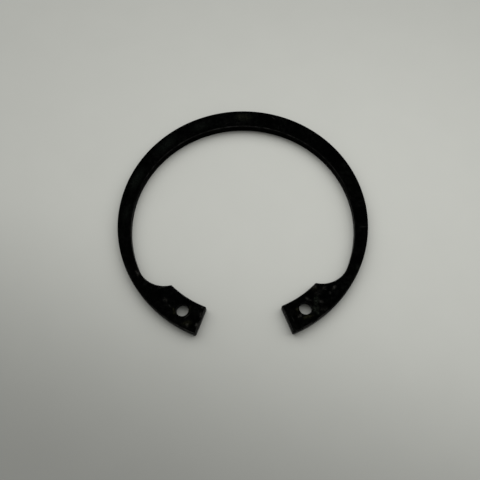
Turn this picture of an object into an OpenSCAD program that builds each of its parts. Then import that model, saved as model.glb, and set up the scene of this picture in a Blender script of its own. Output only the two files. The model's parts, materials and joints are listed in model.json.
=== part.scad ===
// Internal retaining ring: one stamped spring-steel strip on a circle, with a plier lug at each end.
// The ring lies flat. Its axis is Z, its mid-plane is Z = 0 and its gap faces -Y.

/* [Ring] */
// Outside diameter of the ring at rest, before it is squeezed into a bore
outer_d = 69.2; // [60:0.1:80]
// Thickness of the strip, from face to face
thickness = 2.5; // [1.5:0.1:4]
// Width of the band opposite the gap, where it is widest
band_w = 5.4; // [4:0.1:7]
// How far the inside circle's centre lies towards the gap, which tapers the band
inner_offset = 1.62; // [0.5:0.02:2.5]

/* [Lugs] */
// Angle from the gap's centre line to the end of each lug
gap_half_angle = 21.32; // [10:0.02:35]
// Height of each lug, from the rim to its inside arc
lug_h = 7.73; // [6:0.01:9]
// Length of each lug along its inside arc, from its end to its tip
lug_len = 11.3; // [9:0.1:16]
// Radius of the hollow between a lug's tip and the band
hollow_r = 7.63; // [5:0.01:10]
// Radius of a lug's corners, seen from above
corner_r = 0.4; // [0.2:0.05:1]

/* [Plier holes] */
// Diameter of each plier hole
hole_d = 3.35; // [2:0.05:4]
// Distance from the rim to the centre of a hole
hole_from_rim = 4.25; // [3.2:0.05:5]
// Distance from a lug's end to the centre of its hole
hole_from_end = 5.65; // [3.5:0.05:7.5]

/* [Edges] */
// Radius of the rounded edges of the upper face
top_edge_r = 0.35; // [0.1:0.05:0.5]
// Radius of the rounded edges of the lower face
under_edge_r = 0.2; // [0.05:0.05:0.5]

/* [Hidden] */
$fn = 180;

over = 1; // how far a cut runs past what it cuts
bite = 0.01; // how far a rounded cut runs past the line that it joins, so that the two cross cleanly
edge_rise = 0.98; // height of a rounded edge as a share of its radius, so that its arc crosses the face
half_t = thickness / 2;
outer_r = outer_d / 2;
inner_r = outer_r - band_w + inner_offset;
lug_inner_r = outer_r - lug_h;
tip_angle = gap_half_angle + lug_len / lug_inner_r * 180 / PI;
hole_pitch_r = outer_r - hole_from_rim;
hole_angle = gap_half_angle + asin(hole_from_end / hole_pitch_r);
gap_w = outer_r * sin(gap_half_angle) + over;

axis = [0, 0];
inner_centre = [0, -inner_offset];
tip = at(lug_inner_r, tip_angle);
// Each hollow touches the inside circle from within and runs out at the lug's tip
hollow_centre = meet(inner_centre, inner_r - hollow_r + bite, tip, hollow_r);
band_start = heading(inner_centre, hollow_centre);
// Each rounded corner touches the two lines that it joins
corner_reach = corner_r - bite;
outer_corner_r = outer_r - corner_reach;
outer_corner = at(outer_corner_r, gap_half_angle + asin(corner_reach / outer_corner_r));
inner_corner_r = lug_inner_r + corner_reach;
inner_corner = at(inner_corner_r, gap_half_angle + asin(corner_reach / inner_corner_r));
tip_corner = meet(hollow_centre, hollow_r + corner_reach, axis, inner_corner_r);

// A point at radius r from the axis and at an angle from the gap's centre line, counted towards +X
function at(r, angle) = [r * sin(angle), -r * cos(angle)];

// Direction from one point to another, in degrees from +X
function heading(from, to) = atan2(to.y - from.y, to.x - from.x);

// Where a circle about a meets a circle about b, to the left of the way from a to b
function meet(a, ra, b, rb) =
    let (d = norm(b - a), u = (b - a) / d, along = (ra * ra - rb * rb + d * d) / (2 * d))
    a + u * along + [-u.y, u.x] * sqrt(ra * ra - along * along);

// What a rounded edge of radius r takes off a square corner at the origin
module edge_waste(r) {
    translate([-r, -r * edge_rise]) difference() {
        square(r + over);
        circle(r);
    }
}

// Section of a cut from x = from up to a wall at x = to, which leaves both edges of that wall rounded
module cut_section(from, to) {
    translate([from, -half_t - over]) square([to - from, thickness + 2 * over]);
    translate([to, half_t]) mirror([1, 0]) edge_waste(top_edge_r);
    translate([to, -half_t]) mirror([1, 0]) mirror([0, 1]) edge_waste(under_edge_r);
}

// The flat disc that the ring is cut from, with both edges of its rim rounded
module disc() {
    rotate_extrude() difference() {
        translate([0, -half_t]) square([outer_r, thickness]);
        translate([outer_r, half_t]) edge_waste(top_edge_r);
        translate([outer_r, -half_t]) mirror([0, 1]) edge_waste(under_edge_r);
    }
}

// Inside of both lugs, a circle about the ring's axis
module lug_inside() {
    rotate_extrude() cut_section(0, lug_inner_r);
}

// Inside of the band, from one hollow round to the other
module band_inside() {
    translate(inner_centre) rotate(band_start)
        rotate_extrude(angle = 180 - 2 * band_start) cut_section(0, inner_r);
}

// Hollow between a lug and the band
module hollow() {
    translate(hollow_centre) rotate_extrude() cut_section(0, hollow_r);
}

// Half of the gap, up to a lug's end
module half_gap() {
    rotate(gap_half_angle) rotate([90, 0, 0]) linear_extrude(outer_r + over) cut_section(-gap_w, 0);
}

// Waste outside a rounded corner that turns through a given angle from a heading
module corner(centre, from, turn) {
    reach = 3 * corner_r;
    translate([centre.x, centre.y, -half_t - over]) linear_extrude(thickness + 2 * over) difference() {
        rotate(from) polygon([axis, [reach, 0], reach * [cos(turn), sin(turn)]]);
        circle(corner_r);
    }
}

// The three rounded corners of a lug: at its end by the rim, at its end inside, and at its tip
module corners() {
    end_normal = gap_half_angle - 180;
    inward = heading(inner_corner, axis);
    to_hollow = heading(tip_corner, hollow_centre);
    corner(outer_corner, end_normal, heading(axis, outer_corner) - end_normal);
    corner(inner_corner, inward, end_normal + 360 - inward);
    corner(tip_corner, to_hollow, heading(tip_corner, axis) - to_hollow);
}

module plier_hole() {
    translate(at(hole_pitch_r, hole_angle))
        cylinder(h = thickness + 2 * over, d = hole_d, center = true);
}

// Takes the second shape and its mirror image off the first
module less_both_sides() {
    difference() {
        children(0);
        children(1);
        mirror([1, 0]) children(1);
    }
}

module retaining_ring() {
    color([0.05, 0.05, 0.05])
        less_both_sides() {
            less_both_sides() {
                less_both_sides() {
                    less_both_sides() {
                        difference() {
                            disc();
                            lug_inside();
                            band_inside();
                        }
                        hollow();
                    }
                    half_gap();
                }
                corners();
            }
            plier_hole();
        }
}

retaining_ring();
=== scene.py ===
"""An internal retaining ring of black spring steel, flat on a pale surface, its gap towards the camera."""

import json
import math

import bpy
from mathutils import Matrix, Vector


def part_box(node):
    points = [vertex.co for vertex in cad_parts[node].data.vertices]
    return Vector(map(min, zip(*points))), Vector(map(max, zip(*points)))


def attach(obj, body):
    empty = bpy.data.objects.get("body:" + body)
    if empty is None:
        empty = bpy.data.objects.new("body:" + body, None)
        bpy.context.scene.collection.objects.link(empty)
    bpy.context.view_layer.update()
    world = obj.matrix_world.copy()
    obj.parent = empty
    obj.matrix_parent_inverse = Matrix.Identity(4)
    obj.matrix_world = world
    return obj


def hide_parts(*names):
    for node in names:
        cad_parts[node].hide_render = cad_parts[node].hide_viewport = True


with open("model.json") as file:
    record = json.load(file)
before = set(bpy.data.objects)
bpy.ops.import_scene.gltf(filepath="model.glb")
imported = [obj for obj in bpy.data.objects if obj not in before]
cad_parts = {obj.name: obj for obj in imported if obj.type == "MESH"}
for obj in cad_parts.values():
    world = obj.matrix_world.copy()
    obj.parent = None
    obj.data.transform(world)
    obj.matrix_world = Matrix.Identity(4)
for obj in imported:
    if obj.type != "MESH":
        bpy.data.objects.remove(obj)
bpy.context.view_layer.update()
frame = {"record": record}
ring_low, ring_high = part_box("retaining_ring")


# Camera: it looks steeply down on the ring from beyond its gap, about 160 mm away.
# It is turned and tipped by a degree or two, as one held by hand is.
CAMERA_RISE = math.radians(69.34)
CAMERA_TURN = math.radians(1.01)
CAMERA_ROLL = math.radians(-1.83)
CAMERA_REACH = 0.1582
CAMERA_AIM = Vector((-0.00079, -0.00556, ring_low.z))
LENS = 42.82
SENSOR = 36
NEAR_CLIP = 0.01
FAR_CLIP = 10

away = Vector((
    math.sin(CAMERA_TURN) * math.cos(CAMERA_RISE),
    -math.cos(CAMERA_TURN) * math.cos(CAMERA_RISE),
    math.sin(CAMERA_RISE),
))
level = Vector((math.cos(CAMERA_TURN), math.sin(CAMERA_TURN), 0))
facing = Matrix((level, away.cross(level), away)).transposed()
camera_data = bpy.data.cameras.new("camera")
camera_data.lens = LENS
camera_data.sensor_width = SENSOR
camera_data.clip_start = NEAR_CLIP
camera_data.clip_end = FAR_CLIP
camera = bpy.data.objects.new("camera", camera_data)
camera.matrix_world = (
    Matrix.Translation(CAMERA_AIM + away * CAMERA_REACH)
    @ facing.to_4x4()
    @ Matrix.Rotation(CAMERA_ROLL, 4, "Z")
)
bpy.context.scene.collection.objects.link(camera)
bpy.context.scene.camera = camera


# Ring: one strip of spring steel, punched from sheet 2.5 mm thick, hardened and given a black finish.
# Its outline is arcs, apart from each lug's straight end: the rim, the lugs, their hollows and the band.
# The punch leaves the edges of both faces rounded, a little more on the upper one.
RIM_R = ring_high.x
HALF_T = (ring_high.z - ring_low.z) / 2
BAND_W = 0.0054
INNER_OFFSET = 0.00162
GAP_HALF_ANGLE = math.radians(21.32)
LUG_H = 0.00773
LUG_LEN = 0.0113
HOLLOW_R = 0.00763
CORNER_R = 0.0004
UPPER_EDGE_R = 0.00035
LOWER_EDGE_R = 0.0002
HOLE_EDGE_R = 0.00008
MM_PER_M = 1000

# How finely arcs and rounded edges are divided, and how close two points are to count as one
POINT_STEP = 0.0004
FEWEST_STEPS = 10
EDGE_POINTS = 9
SAME_POINT = POINT_STEP / 100
MERGE_DISTANCE = 1e-6

# The finish, from its darkest black to the steel that shows where it is scratched or rubbed. The edge grey is
# both rubbed steel and a painted highlight.
DEEP_BLACK = (0.0006, 0.0007, 0.0007, 1)
WORN_BLACK = (0.0138, 0.0149, 0.0132, 1)
WALL_GREY = (0.0078, 0.0075, 0.0072, 1)
SCRATCH_GREY = (0.042, 0.042, 0.04, 1)
EDGE_WEAR_AND_HIGHLIGHT_GREY = (0.054, 0.053, 0.051, 1)
GRAZING_TINT = (0.5, 0.5, 0.5, 1)
# How much of the worn black the fine grain brings out
GRAIN_SHOWS = 0.07
# How much the rounded edges of the outline, those of the holes and the inside of the back are rubbed and
# carry a painted highlight
OUTLINE_WEAR_AND_HIGHLIGHT = 1
HOLE_WEAR_AND_HIGHLIGHT = 0.4
BACK_WEAR_AND_HIGHLIGHT = 0.6
# The roughness of the finish, and what oil, the punch, rubbing and stains take from it or add
FINISH_ROUGHNESS = 0.5
OIL_GLOSS = 0.14
PUNCHED_GLOSS = 0.2
RUBBED_GLOSS = 0.12
STAIN_ROUGHNESS = 0.15
# The height of the relief in metres, and the share of it that each kind of mark has
FINISH_RELIEF = 0.000006
GRAIN_RELIEF = 0.5
BLOTCH_RELIEF = 0.22
SCRATCH_RELIEF = 0.5
WALL_LINE_RELIEF = 0.9
TORN_RELIEF = 0.8
# Hairline scratches, in mm. Each direction is its turn in degrees and the noise at which a line starts.
HAIRLINE_LENGTH = 3.5
HAIRLINE_WIDTH = 0.07
HAIRLINE_SOFTNESS = 0.05
HAIRLINE_STRENGTH = 0.6
HAIRLINES = ((24, 0.66), (-61, 0.67), (83, 0.69))
# The punched walls: how many of their lines there are to a mm along X, Y and Z, and how far the height at
# which they break wanders, in mm
WALL_LINES = (7, 7, 0.35)
BREAK_WANDER = 0.5
# The furthest that a mark's outline wanders to either side, in mm
RAGGEDNESS = 0.75
# How strongly finer noise is laid over coarser
NOISE_ROUGHNESS = 0.6

# Marks on the upper face. Each is x, y, length and width in mm, its turn in degrees and its strength.
# Greener patches along the back and the left of the band: a greener tint of the finish and a painted sheen
GREENER_BLACK_AND_SHEEN = (0.014, 0.0175, 0.0148, 1)
GREENER_AND_SHEEN_PATCHES = (
    (0.5, 32.6, 9, 4, 0, 0.8),
    (-12, 29.5, 9, 4, 22, 0.7),
    (-22, 23.5, 12, 4.4, 48, 1),
    (-29.9, 12.6, 12, 4.2, 68, 1),
    (-32.3, 2, 8, 3, 86, 0.6),
)
# Olive stains on the lugs; the first entry, at the back of the band, is a painted reflection
OLIVE_STAIN_AND_REFLECTION = (0.023, 0.0228, 0.0128, 1)
OLIVE_STAINS_AND_REFLECTION = (
    (0.8, 32.5, 7, 3.4, 0, 0.5),
    (-18.2, -25.9, 0.9, 3, 8, 0.9),
    (-14.1, -25.4, 0.9, 2.6, -12, 0.7),
    (-14.8, -29.3, 3.6, 2.2, 10, 0.8),
    (13.8, -26.2, 1, 2.6, 0, 0.8),
    (16.6, -28.1, 4.4, 1.5, 14, 0.9),
    (18.7, -20.4, 2.2, 1.3, 20, 0.7),
)
GREEN_RESIDUE = (0.0245, 0.029, 0.0235, 1)
GREEN_RESIDUES = (
    (18.9, -23.7, 3.6, 2, 84, 0.9),
    (18.6, -25.9, 3, 2, 14, 1),
    (19.2, -27.1, 2.2, 1.3, -40, 0.7),
    (30.6, -14.6, 3.4, 1.4, 62, 0.4),
)
# Pale dust on the lugs; the first entry, at the inner corner of the left lug, is a painted highlight
PALE_DUST_AND_HIGHLIGHT = (0.046, 0.0447, 0.0413, 1)
DUST_AND_HIGHLIGHT_SPOTS = (
    (-28.3, -15.5, 2.6, 1.3, -66, 1),
    (-21.8, -19.6, 3.6, 0.8, 10, 0.9),
    (-20.6, -23, 2.2, 1.5, -40, 0.5),
    (-19.4, -24.6, 1.8, 0.7, -56, 0.4),
    (-14.8, -29.8, 1.3, 1.2, 0, 0.8),
    (-11.3, -27.2, 2.8, 0.9, 66, 0.6),
    (-12.1, -29.7, 2.2, 1.1, 60, 1),
    (-10.8, -25.3, 1.2, 0.9, 20, 0.8),
    (18.7, -19.9, 1.9, 1, 30, 1),
    (20.2, -24, 1.9, 1.3, -30, 0.7),
    (23.9, -20.3, 2.1, 1.2, 40, 1),
    (21.4, -20.4, 2.2, 1.2, 30, 0.6),
    (22.7, -21.7, 1.5, 1.1, -30, 0.6),
    (20.4, -26.1, 1.4, 1.2, 0, 0.5),
    (21.4, -26, 1.5, 1.2, 40, 0.5),
    (16.9, -23.3, 3, 1.1, -34, 0.7),
    (14.4, -27.8, 1.8, 1.2, 20, 0.8),
    (19.6, -21.6, 3.4, 2.2, 10, 0.3),
)
LONE_SCRATCHES = (
    (33.1, -3.2, 3, 0.22, 4, 1),
    (9.6, 31.9, 2.4, 0.2, -42, 1),
    (-14.8, -27.4, 2.8, 0.25, 38, 1),
    (12.6, -28.4, 2.6, 0.2, -66, 0.6),
)

inner_r = RIM_R - BAND_W + INNER_OFFSET
lug_r = RIM_R - LUG_H
tip_angle = GAP_HALF_ANGLE + LUG_LEN / lug_r
mounts = {mount["name"]: mount for mount in frame["record"]["mounts"]}
hole_r = mounts["plier_hole_right"]["dims"]["r_mm"] / MM_PER_M
hole_centre = Vector(mounts["plier_hole_right"]["pos_m"][:2])


def at(radius, angle):
    """The point at a radius from the axis and an angle from the middle of the gap, counted towards +X."""
    return Vector((radius * math.sin(angle), -radius * math.cos(angle)))


def heading(start, end):
    """The direction from one point to another, counted from +X."""
    return math.atan2(end.y - start.y, end.x - start.x)


def meet(a, a_radius, b, b_radius):
    """Where a circle about a meets a circle about b, to the left of the way from a to b."""
    way = b - a
    along = (a_radius**2 - b_radius**2 + way.length_squared) / (2 * way.length)
    side = math.sqrt(a_radius**2 - along**2)
    unit = way.normalized()
    return a + unit * along + Vector((-unit.y, unit.x)) * side


def arc(centre, radius, start, end):
    """Points along an arc, from its start to its end, POINT_STEP apart or closer."""
    count = max(FEWEST_STEPS, math.ceil(radius * abs(end - start) / POINT_STEP))
    turns = [start + (end - start) * i / count for i in range(count + 1)]
    return [centre + radius * Vector((math.cos(turn), math.sin(turn))) for turn in turns]


def mirrored(points):
    """The same points on the other side of the gap's middle, last one first."""
    return [Vector((-point.x, point.y)) for point in reversed(points)]


# The right half of the outline, from the back of the rim round the lug to the back of the band's inside.
# A full turn comes off one heading, so that the arc at the lug's inner corner goes the short way.
axis = Vector((0, 0))
inner_centre = Vector((0, -INNER_OFFSET))
hollow_centre = meet(inner_centre, inner_r - HOLLOW_R, at(lug_r, tip_angle), HOLLOW_R)
outer_corner_r = RIM_R - CORNER_R
outer_corner = at(outer_corner_r, GAP_HALF_ANGLE + math.asin(CORNER_R / outer_corner_r))
inner_corner_r = lug_r + CORNER_R
inner_corner = at(inner_corner_r, GAP_HALF_ANGLE + math.asin(CORNER_R / inner_corner_r))
tip_corner = meet(hollow_centre, HOLLOW_R + CORNER_R, axis, inner_corner_r)
end_normal = GAP_HALF_ANGLE - math.pi
half_outline = [
    *arc(axis, RIM_R, math.pi / 2, heading(axis, outer_corner)),
    *arc(outer_corner, CORNER_R, heading(axis, outer_corner), end_normal),
    *arc(inner_corner, CORNER_R, end_normal, heading(inner_corner, axis) - 2 * math.pi),
    *arc(axis, lug_r, heading(axis, inner_corner), heading(axis, tip_corner)),
    *arc(tip_corner, CORNER_R, heading(tip_corner, axis), heading(tip_corner, hollow_centre)),
    *arc(hollow_centre, HOLLOW_R, heading(hollow_centre, tip_corner), heading(inner_centre, hollow_centre)),
    *arc(inner_centre, inner_r, heading(inner_centre, hollow_centre), math.pi / 2),
]
# Neighbouring arcs share an end point, which is kept once
outline = []
for point in reversed(half_outline + mirrored(half_outline)):
    if not outline or (point - outline[-1]).length > SAME_POINT:
        outline.append(point)
if (outline[0] - outline[-1]).length < SAME_POINT:
    outline.pop()
right_hole = arc(hole_centre, hole_r, 2 * math.pi, 0)[:-1]
loops = [outline, right_hole, mirrored(right_hole)]


class Wire:
    """A socket of a node tree. Sums and products of wires, and of wires and numbers, add Math nodes."""

    def __init__(self, tree, socket=None):
        self.tree = tree
        self.socket = socket

    def add(self, kind, settings=None, sockets=None, out=0):
        """Adds a node, makes its settings, fills its sockets with values or wires, and gives one output."""
        node = self.tree.nodes.new(kind)
        for name, value in (settings or {}).items():
            setattr(node, name, value)
        for name, value in (sockets or {}).items():
            for item in value if isinstance(value, list) else [value]:
                if isinstance(item, Wire):
                    self.tree.links.new(item.socket, node.inputs[name])
                else:
                    node.inputs[name].default_value = item
        return Wire(self.tree, node.outputs[out] if node.outputs else None)

    def other(self, name):
        """Another output of the same node."""
        return Wire(self.tree, self.socket.node.outputs[name])

    def maths(self, operation, *values):
        """A Math node, for numbers."""
        return self.add("ShaderNodeMath", {"operation": operation}, dict(enumerate(values)))

    def vectors(self, operation, sockets, out=0):
        """A Vector Math node, for places and colours."""
        return self.add("ShaderNodeVectorMath", {"operation": operation}, sockets, out)

    def __add__(self, other):
        return self.maths("ADD", self, other)

    def __radd__(self, other):
        return self.maths("ADD", other, self)

    def __sub__(self, other):
        return self.maths("SUBTRACT", self, other)

    def __rsub__(self, other):
        return self.maths("SUBTRACT", other, self)

    def __mul__(self, other):
        return self.maths("MULTIPLY", self, other)

    def __rmul__(self, other):
        return self.maths("MULTIPLY", other, self)

    def __neg__(self):
        return self.maths("MULTIPLY", self, -1)


def punched_strip_tree():
    """Sweeps a punched section round every loop of points and closes both faces between the loops."""
    tree = bpy.data.node_groups.new("punched strip", "GeometryNodeTree")
    tree.interface.new_socket("Points", in_out="INPUT", socket_type="NodeSocketGeometry")
    for name in ("Half Thickness", "Upper Edge", "Lower Edge", "Hole Edge"):
        tree.interface.new_socket(name, in_out="INPUT", socket_type="NodeSocketFloat")
    tree.interface.new_socket("Steps", in_out="INPUT", socket_type="NodeSocketInt")
    tree.interface.new_socket("Material", in_out="INPUT", socket_type="NodeSocketMaterial")
    tree.interface.new_socket("Mesh", in_out="OUTPUT", socket_type="NodeSocketGeometry")
    strip = Wire(tree)
    inputs = strip.add("NodeGroupInput")
    half_t = inputs.other("Half Thickness")
    steps = inputs.other("Steps")
    upper_edge = inputs.other("Upper Edge")
    lower_edge = inputs.other("Lower Edge")
    hole_edge = inputs.other("Hole Edge")
    is_hole = strip.add("GeometryNodeInputNamedAttribute", {"data_type": "BOOLEAN"}, {"Name": "is_hole"})
    loop = strip.add("GeometryNodeInputNamedAttribute", {"data_type": "INT"}, {"Name": "loop"})
    order = strip.add("GeometryNodeInputIndex")
    points = strip.add("GeometryNodeMeshToPoints", {}, {"Mesh": inputs.other("Points")})
    curves = strip.add(
        "GeometryNodePointsToCurves", {}, {"Points": points, "Curve Group ID": loop, "Weight": order}
    )
    curves = strip.add("GeometryNodeSetSplineCyclic", {}, {"Geometry": curves, "Cyclic": True})
    curves = strip.add("GeometryNodeSetCurveNormal", {"mode": "Z_UP"}, {"Curve": curves})
    outward = strip.add("GeometryNodeInputNormal")

    def section(upper, lower, wear_and_highlight):
        """The section of the wall, from the upper face down to the lower. X is outward and Y is down.

        Its attribute, edge, rises and falls again over each rounded edge, highest nearer the upper end. It
        places the wear and the painted highlight on the edges.
        """
        quarters = []
        for radius, start, middle in (
            (upper, -math.pi / 2, upper - half_t),
            (lower, 0.0, half_t - lower),
        ):
            quarter = strip.add(
                "GeometryNodeCurveArc",
                {"mode": "RADIUS"},
                {"Resolution": steps, "Radius": radius, "Start Angle": start, "Sweep Angle": math.pi / 2},
            )
            place = strip.add("ShaderNodeCombineXYZ", {}, {"X": -radius, "Y": middle})
            quarter = strip.add("GeometryNodeTransform", {}, {"Geometry": quarter, "Translation": place})
            quarter = strip.add("GeometryNodeCurveToPoints", {"mode": "EVALUATED"}, {"Curve": quarter})
            along = strip.maths("SQRT", strip.maths("DIVIDE", order, steps - 1))
            crown = strip.maths("SINE", along * math.pi)
            quarters.append(strip.add(
                "GeometryNodeStoreNamedAttribute",
                {},
                {"Geometry": quarter, "Name": "edge", "Value": crown * wear_and_highlight},
            ))
        both = strip.add("GeometryNodeJoinGeometry", {}, {"Geometry": quarters[::-1]})
        return strip.add("GeometryNodePointsToCurves", {}, {"Points": both, "Weight": order})

    def inset(distance):
        """The loops, moved into the metal."""
        offset = strip.vectors("SCALE", {0: outward, "Scale": -distance})
        return strip.add("GeometryNodeSetPosition", {}, {"Geometry": curves, "Offset": offset})

    def face(edge_radius, height):
        """A flat face at a height, inside the rounded edges of the outline and the holes."""
        distance = edge_radius + is_hole * (hole_edge - edge_radius)
        filled = strip.add("GeometryNodeFillCurve", {"mode": "TRIANGLES"}, {"Curve": inset(distance)})
        lift = strip.add("ShaderNodeCombineXYZ", {}, {"Z": height})
        filled = strip.add("GeometryNodeTransform", {}, {"Geometry": filled, "Translation": lift})
        return strip.add("GeometryNodeSetShadeSmooth", {}, {"Geometry": filled, "Shade Smooth": False})

    walls = []
    for wanted, upper, lower, wear_and_highlight in (
        (1 - is_hole, upper_edge, lower_edge, OUTLINE_WEAR_AND_HIGHLIGHT),
        (is_hole, hole_edge, hole_edge, HOLE_WEAR_AND_HIGHLIGHT),
    ):
        path = strip.add(
            "GeometryNodeSeparateGeometry", {"domain": "CURVE"}, {"Geometry": curves, "Selection": wanted}
        )
        profile = section(upper, lower, wear_and_highlight)
        swept = strip.add("GeometryNodeCurveToMesh", {}, {"Curve": path, "Profile Curve": profile})
        walls.append(strip.add("GeometryNodeSetShadeSmooth", {}, {"Geometry": swept, "Shade Smooth": True}))
    upper_face = face(upper_edge, half_t)
    lower_face = strip.add("GeometryNodeFlipFaces", {}, {"Mesh": face(lower_edge, -half_t)})
    whole = strip.add("GeometryNodeJoinGeometry", {}, {"Geometry": [*walls, upper_face, lower_face]})
    whole = strip.add("GeometryNodeMergeByDistance", {}, {"Geometry": whole, "Distance": MERGE_DISTANCE})
    whole = strip.add("GeometryNodeRealizeInstances", {}, {"Geometry": whole})
    whole = strip.add(
        "GeometryNodeSetMaterial", {}, {"Geometry": whole, "Material": inputs.other("Material")}
    )
    strip.add("NodeGroupOutput", {}, {"Mesh": whole})
    return tree


def oiled_black_steel():
    """A thin, lightly oiled black finish on punched steel, with dry stains, scuffs, rubbed edges and painted
    highlights and sheen.
    """
    material = bpy.data.materials.new("oiled_black_steel")
    material.use_nodes = True
    steel = Wire(material.node_tree)
    place = steel.add("ShaderNodeTexCoord").other("Object")
    place = steel.vectors("SCALE", {0: place, "Scale": MM_PER_M})
    normal = steel.add("ShaderNodeTexCoord").other("Normal")
    edge = steel.add("ShaderNodeAttribute", {"attribute_name": "edge"}).other("Fac")

    def noise(size, detail, where=place, out="Fac"):
        """Noise with features of about a size in millimetres."""
        sockets = {"Vector": where, "Scale": 1 / size, "Detail": detail, "Roughness": NOISE_ROUGHNESS}
        return steel.add("ShaderNodeTexNoise", {}, sockets).other(out)

    def soft(value, start, full):
        """0 up to the start, 1 from where it is full, and a smooth rise between."""
        return steel.add(
            "ShaderNodeMapRange",
            {"interpolation_type": "SMOOTHSTEP"},
            {"Value": value, "From Min": start, "From Max": full},
        )

    def areas(size, detail, start, full):
        """Areas of about a size in millimetres, from the noise at which they start to where they are full."""
        return soft(noise(size, detail), start, full)

    def ranged(mask, low, high):
        """The low value where a mask is 0, and the high one where it is 1."""
        return low + (high - low) * mask

    def laid(length, width, turn, x=0, y=0, z=0, where=place):
        """Coordinates in lengths along a direction and widths across it, about a point."""
        return steel.add(
            "ShaderNodeMapping",
            {"vector_type": "TEXTURE"},
            {
                "Vector": where,
                "Location": (x, y, z),
                "Rotation": (0, 0, math.radians(turn)),
                "Scale": (length, width, 1),
            },
        )

    def blend(low, high, share):
        """A share of the high colour over the low one."""
        return steel.add(
            "ShaderNodeMix", {"data_type": "RGBA"}, {"Factor": share, 6: low, 7: high}
        ).other("Result")

    def marks(places, where):
        """The share of a mark at each point, from a list of marks."""
        total = 0
        for x, y, length, width, turn, strength in places:
            inside = laid(length / 2, width / 2, turn, x, y, HALF_T * MM_PER_M, where)
            reach = steel.vectors("LENGTH", {0: inside}, "Value")
            total = total + strength * soft(reach, start=1, full=0)
        return steel.maths("MINIMUM", total, 1)

    apart = steel.add("ShaderNodeSeparateXYZ", {}, {"Vector": place})
    height = apart.other("Z")
    upward = steel.add("ShaderNodeSeparateXYZ", {}, {"Vector": normal}).other("Z")
    wall = soft(steel.maths("ABSOLUTE", upward), start=0.35, full=0.05)
    jitter = steel.vectors(
        "MULTIPLY_ADD",
        {
            0: noise(size=1.1, detail=5, out="Color"),
            1: (2 * RAGGEDNESS, 2 * RAGGEDNESS, 0),
            2: (-RAGGEDNESS, -RAGGEDNESS, 0),
        },
    )
    ragged = steel.vectors("ADD", {0: place, 1: jitter})

    # The finish itself: slow patches, small blotches and a fine crystal grain, greener in some places, where
    # a sheen is also painted
    patches = areas(size=5, detail=4, start=0.36, full=0.68)
    blotches = areas(size=1, detail=4, start=0.42, full=0.7)
    crumbs = areas(size=0.38, detail=3, start=0.34, full=0.68)
    grain = noise(size=0.16, detail=2)
    worn = blotches * ranged(patches, low=0.02, high=0.37) + GRAIN_SHOWS * grain * crumbs
    colour = blend(DEEP_BLACK, WORN_BLACK, steel.maths("MINIMUM", worn, 1))
    greener_and_sheen = marks(GREENER_AND_SHEEN_PATCHES, ragged) * ranged(crumbs, low=0.18, high=0.68)
    colour = blend(colour, GREENER_BLACK_AND_SHEEN, greener_and_sheen)

    # Fine scratches from handling, in three directions, and a few single ones
    scratched = areas(size=3, detail=2, start=0.45, full=0.6)
    scratches = marks(LONE_SCRATCHES, place)
    for turn, start in HAIRLINES:
        drawn_out = laid(HAIRLINE_LENGTH, HAIRLINE_WIDTH, turn)
        lines = soft(noise(size=1, detail=2, where=drawn_out), start, start + HAIRLINE_SOFTNESS)
        scratches = scratches + HAIRLINE_STRENGTH * lines * scratched
    scratches = steel.maths("MINIMUM", scratches, 1)
    colour = blend(colour, SCRATCH_GREY, scratches)

    # Edges rubbed lighter in places, with a painted highlight along them, most on the lugs and inside the
    # back of the band
    flat_place = steel.vectors("MULTIPLY", {0: place, 1: (1, 1, 0)})
    from_axis = steel.vectors("LENGTH", {0: flat_place}, "Value")
    on_lugs = soft(apart.other("Y"), start=-12, full=-20)
    inside_back = soft(apart.other("Y"), start=6, full=16) * soft(from_axis, start=32.5, full=31)
    handled_and_highlit = ranged(steel.maths("MAXIMUM", on_lugs, BACK_WEAR_AND_HIGHLIGHT * inside_back), low=0.15, high=1)
    bared_and_highlit_areas = areas(size=2.2, detail=4, start=0.38, full=0.64)
    wear_and_highlight_breakup = ranged(bared_and_highlit_areas, low=0.2, high=1) * ranged(crumbs, low=0.4, high=1)
    rub_and_highlight = edge * edge * soft(height, start=-0.9, full=0.6) * handled_and_highlit * wear_and_highlight_breakup
    colour = blend(colour, EDGE_WEAR_AND_HIGHLIGHT_GREY, rub_and_highlight)

    # Punched walls: a polished band above a rough break, with fine upright lines
    lined_place = steel.vectors("MULTIPLY", {0: place, 1: WALL_LINES})
    upright = noise(size=1, detail=3, where=lined_place)
    wander = BREAK_WANDER * (noise(size=1.6, detail=2) - 0.5)
    torn = soft(height + wander, start=0.25, full=-0.05)
    colour = blend(colour, WALL_GREY, wall * upright * ranged(torn, low=0.25, high=0.6))

    # Dry stains and dust, patchy like the finish under them, with a painted reflection and a painted
    # highlight among them
    stains_and_painted_light = 0
    for tint, places in (
        (OLIVE_STAIN_AND_REFLECTION, OLIVE_STAINS_AND_REFLECTION),
        (GREEN_RESIDUE, GREEN_RESIDUES),
        (PALE_DUST_AND_HIGHLIGHT, DUST_AND_HIGHLIGHT_SPOTS),
    ):
        layer = marks(places, ragged) * ranged(crumbs, low=0.12, high=1.27)
        layer = steel.maths("MINIMUM", layer, 1)
        colour = blend(colour, tint, layer)
        stains_and_painted_light = stains_and_painted_light + layer
    stains_and_painted_light = steel.maths("MINIMUM", stains_and_painted_light, 1)

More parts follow.
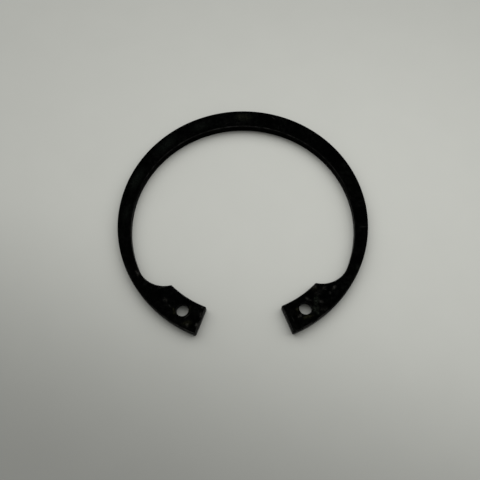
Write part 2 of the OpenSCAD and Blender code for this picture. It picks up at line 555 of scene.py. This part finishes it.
    # Gloss and relief
    oily = areas(size=4.2, detail=3, start=0.5, full=0.72)
    rough = (
        FINISH_ROUGHNESS
        + ranged(blotches, low=-0.06, high=0.06)
        + ranged(grain, low=-0.05, high=0.05)
        - OIL_GLOSS * oily * (1 - wall)
        - PUNCHED_GLOSS * wall * ranged(torn, low=1, high=0.5)
        - RUBBED_GLOSS * edge * rub_and_highlight
        + STAIN_ROUGHNESS * stains_and_painted_light
    )
    break_crystals = noise(size=0.35, detail=3)
    relief = (
        GRAIN_RELIEF * grain
        + BLOTCH_RELIEF * blotches
        - SCRATCH_RELIEF * scratches
        + wall * (WALL_LINE_RELIEF * upright + TORN_RELIEF * torn * break_crystals)
    )
    bump = steel.add("ShaderNodeBump", {}, {"Height": relief, "Strength": 1, "Distance": FINISH_RELIEF})

    shader = material.node_tree.nodes["Principled BSDF"]
    shader.distribution = "GGX"
    shader.inputs["Metallic"].default_value = 1
    shader.inputs["Specular Tint"].default_value = GRAZING_TINT
    for name, wire in (("Base Color", colour), ("Roughness", rough), ("Normal", bump)):
        material.node_tree.links.new(wire.socket, shader.inputs[name])
    return material


loop_of_point = [i for i, points in enumerate(loops) for _ in points]
in_a_hole = [i > 0 for i in loop_of_point]
blank = bpy.data.meshes.new("ring_outline")
blank.from_pydata([(p.x, p.y, 0) for points in loops for p in points], [], [])
blank.attributes.new("loop", "INT", "POINT").data.foreach_set("value", loop_of_point)
blank.attributes.new("is_hole", "BOOLEAN", "POINT").data.foreach_set("value", in_a_hole)
outline_object = bpy.data.objects.new("ring_outline", blank)
bpy.context.scene.collection.objects.link(outline_object)
strip_tree = punched_strip_tree()
modifier = outline_object.modifiers.new("punched strip", "NODES")
modifier.node_group = strip_tree
sizes = {
    "Half Thickness": HALF_T,
    "Upper Edge": UPPER_EDGE_R,
    "Lower Edge": LOWER_EDGE_R,
    "Hole Edge": HOLE_EDGE_R,
    "Steps": EDGE_POINTS,
    "Material": oiled_black_steel(),
}
for item in strip_tree.interface.items_tree:
    if item.in_out == "INPUT" and item.name in sizes:
        modifier[item.identifier] = sizes[item.name]
evaluated = outline_object.evaluated_get(bpy.context.evaluated_depsgraph_get())
ring_mesh = bpy.data.meshes.new_from_object(evaluated)
# The blank has no material, so the new mesh may start with an empty slot
while ring_mesh.materials[0] is None:
    ring_mesh.materials.pop(index=0)
bpy.data.objects.remove(outline_object)
ring = bpy.data.objects.new("spring_ring", ring_mesh)
bpy.context.scene.collection.objects.link(ring)
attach(ring, "root")
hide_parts("retaining_ring")


# Surface: a plain, pale, matt sheet under the ring, far larger than the ring.
# Painted shade makes it palest behind the ring to the right and greyer all round; it evens out further off.
SURFACE_SIZE = 4
SURFACE_PALE = (0.54, 0.547, 0.512)
SURFACE_ROUGHNESS = 0.9
SURFACE_SPECULAR = 0.1
# One painted shade deepens in one direction, between two distances from the axis
NEAR_SHADE_TURN = math.radians(-110.5)
NEAR_SHADE_REACH = (0.0072, 0.0833)
NEAR_SHADE_DEPTH = 0.42
# The other painted shade deepens outwards from the middle of an oval to its edge
WIDE_SHADE_CENTRE = (0.0374, 0.012, ring_low.z)
WIDE_SHADE_TURN = math.radians(-9.7)
WIDE_SHADE_RADII = (0.188, 0.12, 1)
WIDE_SHADE_DEPTH = 0.25
# Both painted shades fade out between these distances
SHADES_FADE = (0.1, 0.8)
FIBRE_SCALE = 90
FIBRE_DETAIL = 6
FIBRE_DARKEST = 0.98
FIBRE_SPREAD = 0.04

half_size = SURFACE_SIZE / 2
corners = [(-half_size, -half_size), (half_size, -half_size), (half_size, half_size), (-half_size, half_size)]
surface_mesh = bpy.data.meshes.new("surface")
surface_mesh.from_pydata([(x, y, ring_low.z) for x, y in corners], [], [(0, 1, 2, 3)])
surface = bpy.data.objects.new("surface", surface_mesh)
bpy.context.scene.collection.objects.link(surface)


def pale_surface():
    """Matt and pale. Its soft painted shades deepen towards the near side and outwards, and fade further off.
    """
    material = bpy.data.materials.new("pale_surface")
    material.use_nodes = True
    sheet = Wire(material.node_tree)
    place = sheet.add("ShaderNodeTexCoord").other("Object")

    def rise(value, start, end, height):
        """0 up to the start, the height from the end on, and a smooth rise between."""
        sockets = {"Value": value, "From Min": start, "From Max": end, "To Max": height}
        return sheet.add("ShaderNodeMapRange", {"interpolation_type": "SMOOTHSTEP"}, sockets)

    def length(vector):
        """How long a vector is."""
        return sheet.vectors("LENGTH", {0: vector}, "Value")

    towards = (math.cos(NEAR_SHADE_TURN), math.sin(NEAR_SHADE_TURN), 0)
    nearness = sheet.vectors("DOT_PRODUCT", {0: place, 1: towards}, "Value")
    oval = sheet.add(
        "ShaderNodeMapping",
        {"vector_type": "TEXTURE"},
        {
            "Vector": place,
            "Location": WIDE_SHADE_CENTRE,
            "Rotation": (0, 0, WIDE_SHADE_TURN),
            "Scale": WIDE_SHADE_RADII,
        },
    )
    # Painted shade, darker towards the near side and outwards from the oval
    painted_near_shade = rise(nearness, *NEAR_SHADE_REACH, NEAR_SHADE_DEPTH)
    painted_wide_shade = rise(length(oval), 0, 1, WIDE_SHADE_DEPTH)
    shade = 1 - (1 - painted_near_shade) * (1 - painted_wide_shade)
    faded = rise(length(place), *SHADES_FADE, 1)
    noise_sockets = {"Vector": place, "Scale": FIBRE_SCALE, "Detail": FIBRE_DETAIL}
    fibre = sheet.add("ShaderNodeTexNoise", {}, noise_sockets)
    tone = (1 - shade * (1 - faded)) * (FIBRE_DARKEST + FIBRE_SPREAD * fibre)
    colour = sheet.vectors("SCALE", {0: SURFACE_PALE, "Scale": tone})
    shader = material.node_tree.nodes["Principled BSDF"]
    shader.inputs["Roughness"].default_value = SURFACE_ROUGHNESS
    shader.inputs["Specular IOR Level"].default_value = SURFACE_SPECULAR
    material.node_tree.links.new(colour.socket, shader.inputs["Base Color"])
    return material


surface_mesh.materials.append(pale_surface())


# Light: one wide, soft lamp high beyond the ring, a little to the right, in a pale room.
# The ring mirrors the room and the surface, but not the lamp.
LAMP_TURN = math.radians(80)
LAMP_RISE = math.radians(55)
LAMP_REACH = 3
LAMP_WIDTH = 13.08
LAMP_HEIGHT = 3.3
LAMP_RADIANCE = 1.92
ROOM_COLOUR = (1, 1, 0.97, 1)
ROOM_LIGHT = 0.26
ROOM_SEEN = 0.5

to_lamp = Vector((
    math.cos(LAMP_TURN) * math.cos(LAMP_RISE),
    math.sin(LAMP_TURN) * math.cos(LAMP_RISE),
    math.sin(LAMP_RISE),
))
lamp_data = bpy.data.lights.new("wide_lamp", "AREA")
lamp_data.shape = "RECTANGLE"
lamp_data.size = LAMP_WIDTH
lamp_data.size_y = LAMP_HEIGHT
lamp_data.energy = math.pi * LAMP_WIDTH * LAMP_HEIGHT * LAMP_RADIANCE
lamp = bpy.data.objects.new("wide_lamp", lamp_data)
lamp.visible_glossy = False
lamp_facing = to_lamp.to_track_quat("Z", "Y").to_matrix().to_4x4()
lamp.matrix_world = Matrix.Translation(to_lamp * LAMP_REACH) @ lamp_facing
bpy.context.scene.collection.objects.link(lamp)

world = bpy.data.worlds.new("room")
world.use_nodes = True
room = Wire(world.node_tree)
rays = room.add("ShaderNodeLightPath")
seen = room.maths(
    "MAXIMUM",
    room.maths("MAXIMUM", rays.other("Is Camera Ray"), rays.other("Is Glossy Ray")),
    rays.other("Is Transmission Ray"),
)
room_strength = ROOM_LIGHT + seen * (ROOM_SEEN - ROOM_LIGHT)
background = world.node_tree.nodes["Background"]
background.inputs["Color"].default_value = ROOM_COLOUR
world.node_tree.links.new(room_strength.socket, background.inputs["Strength"])
bpy.context.scene.world = world
bpy.context.scene.view_settings.view_transform = "Standard"
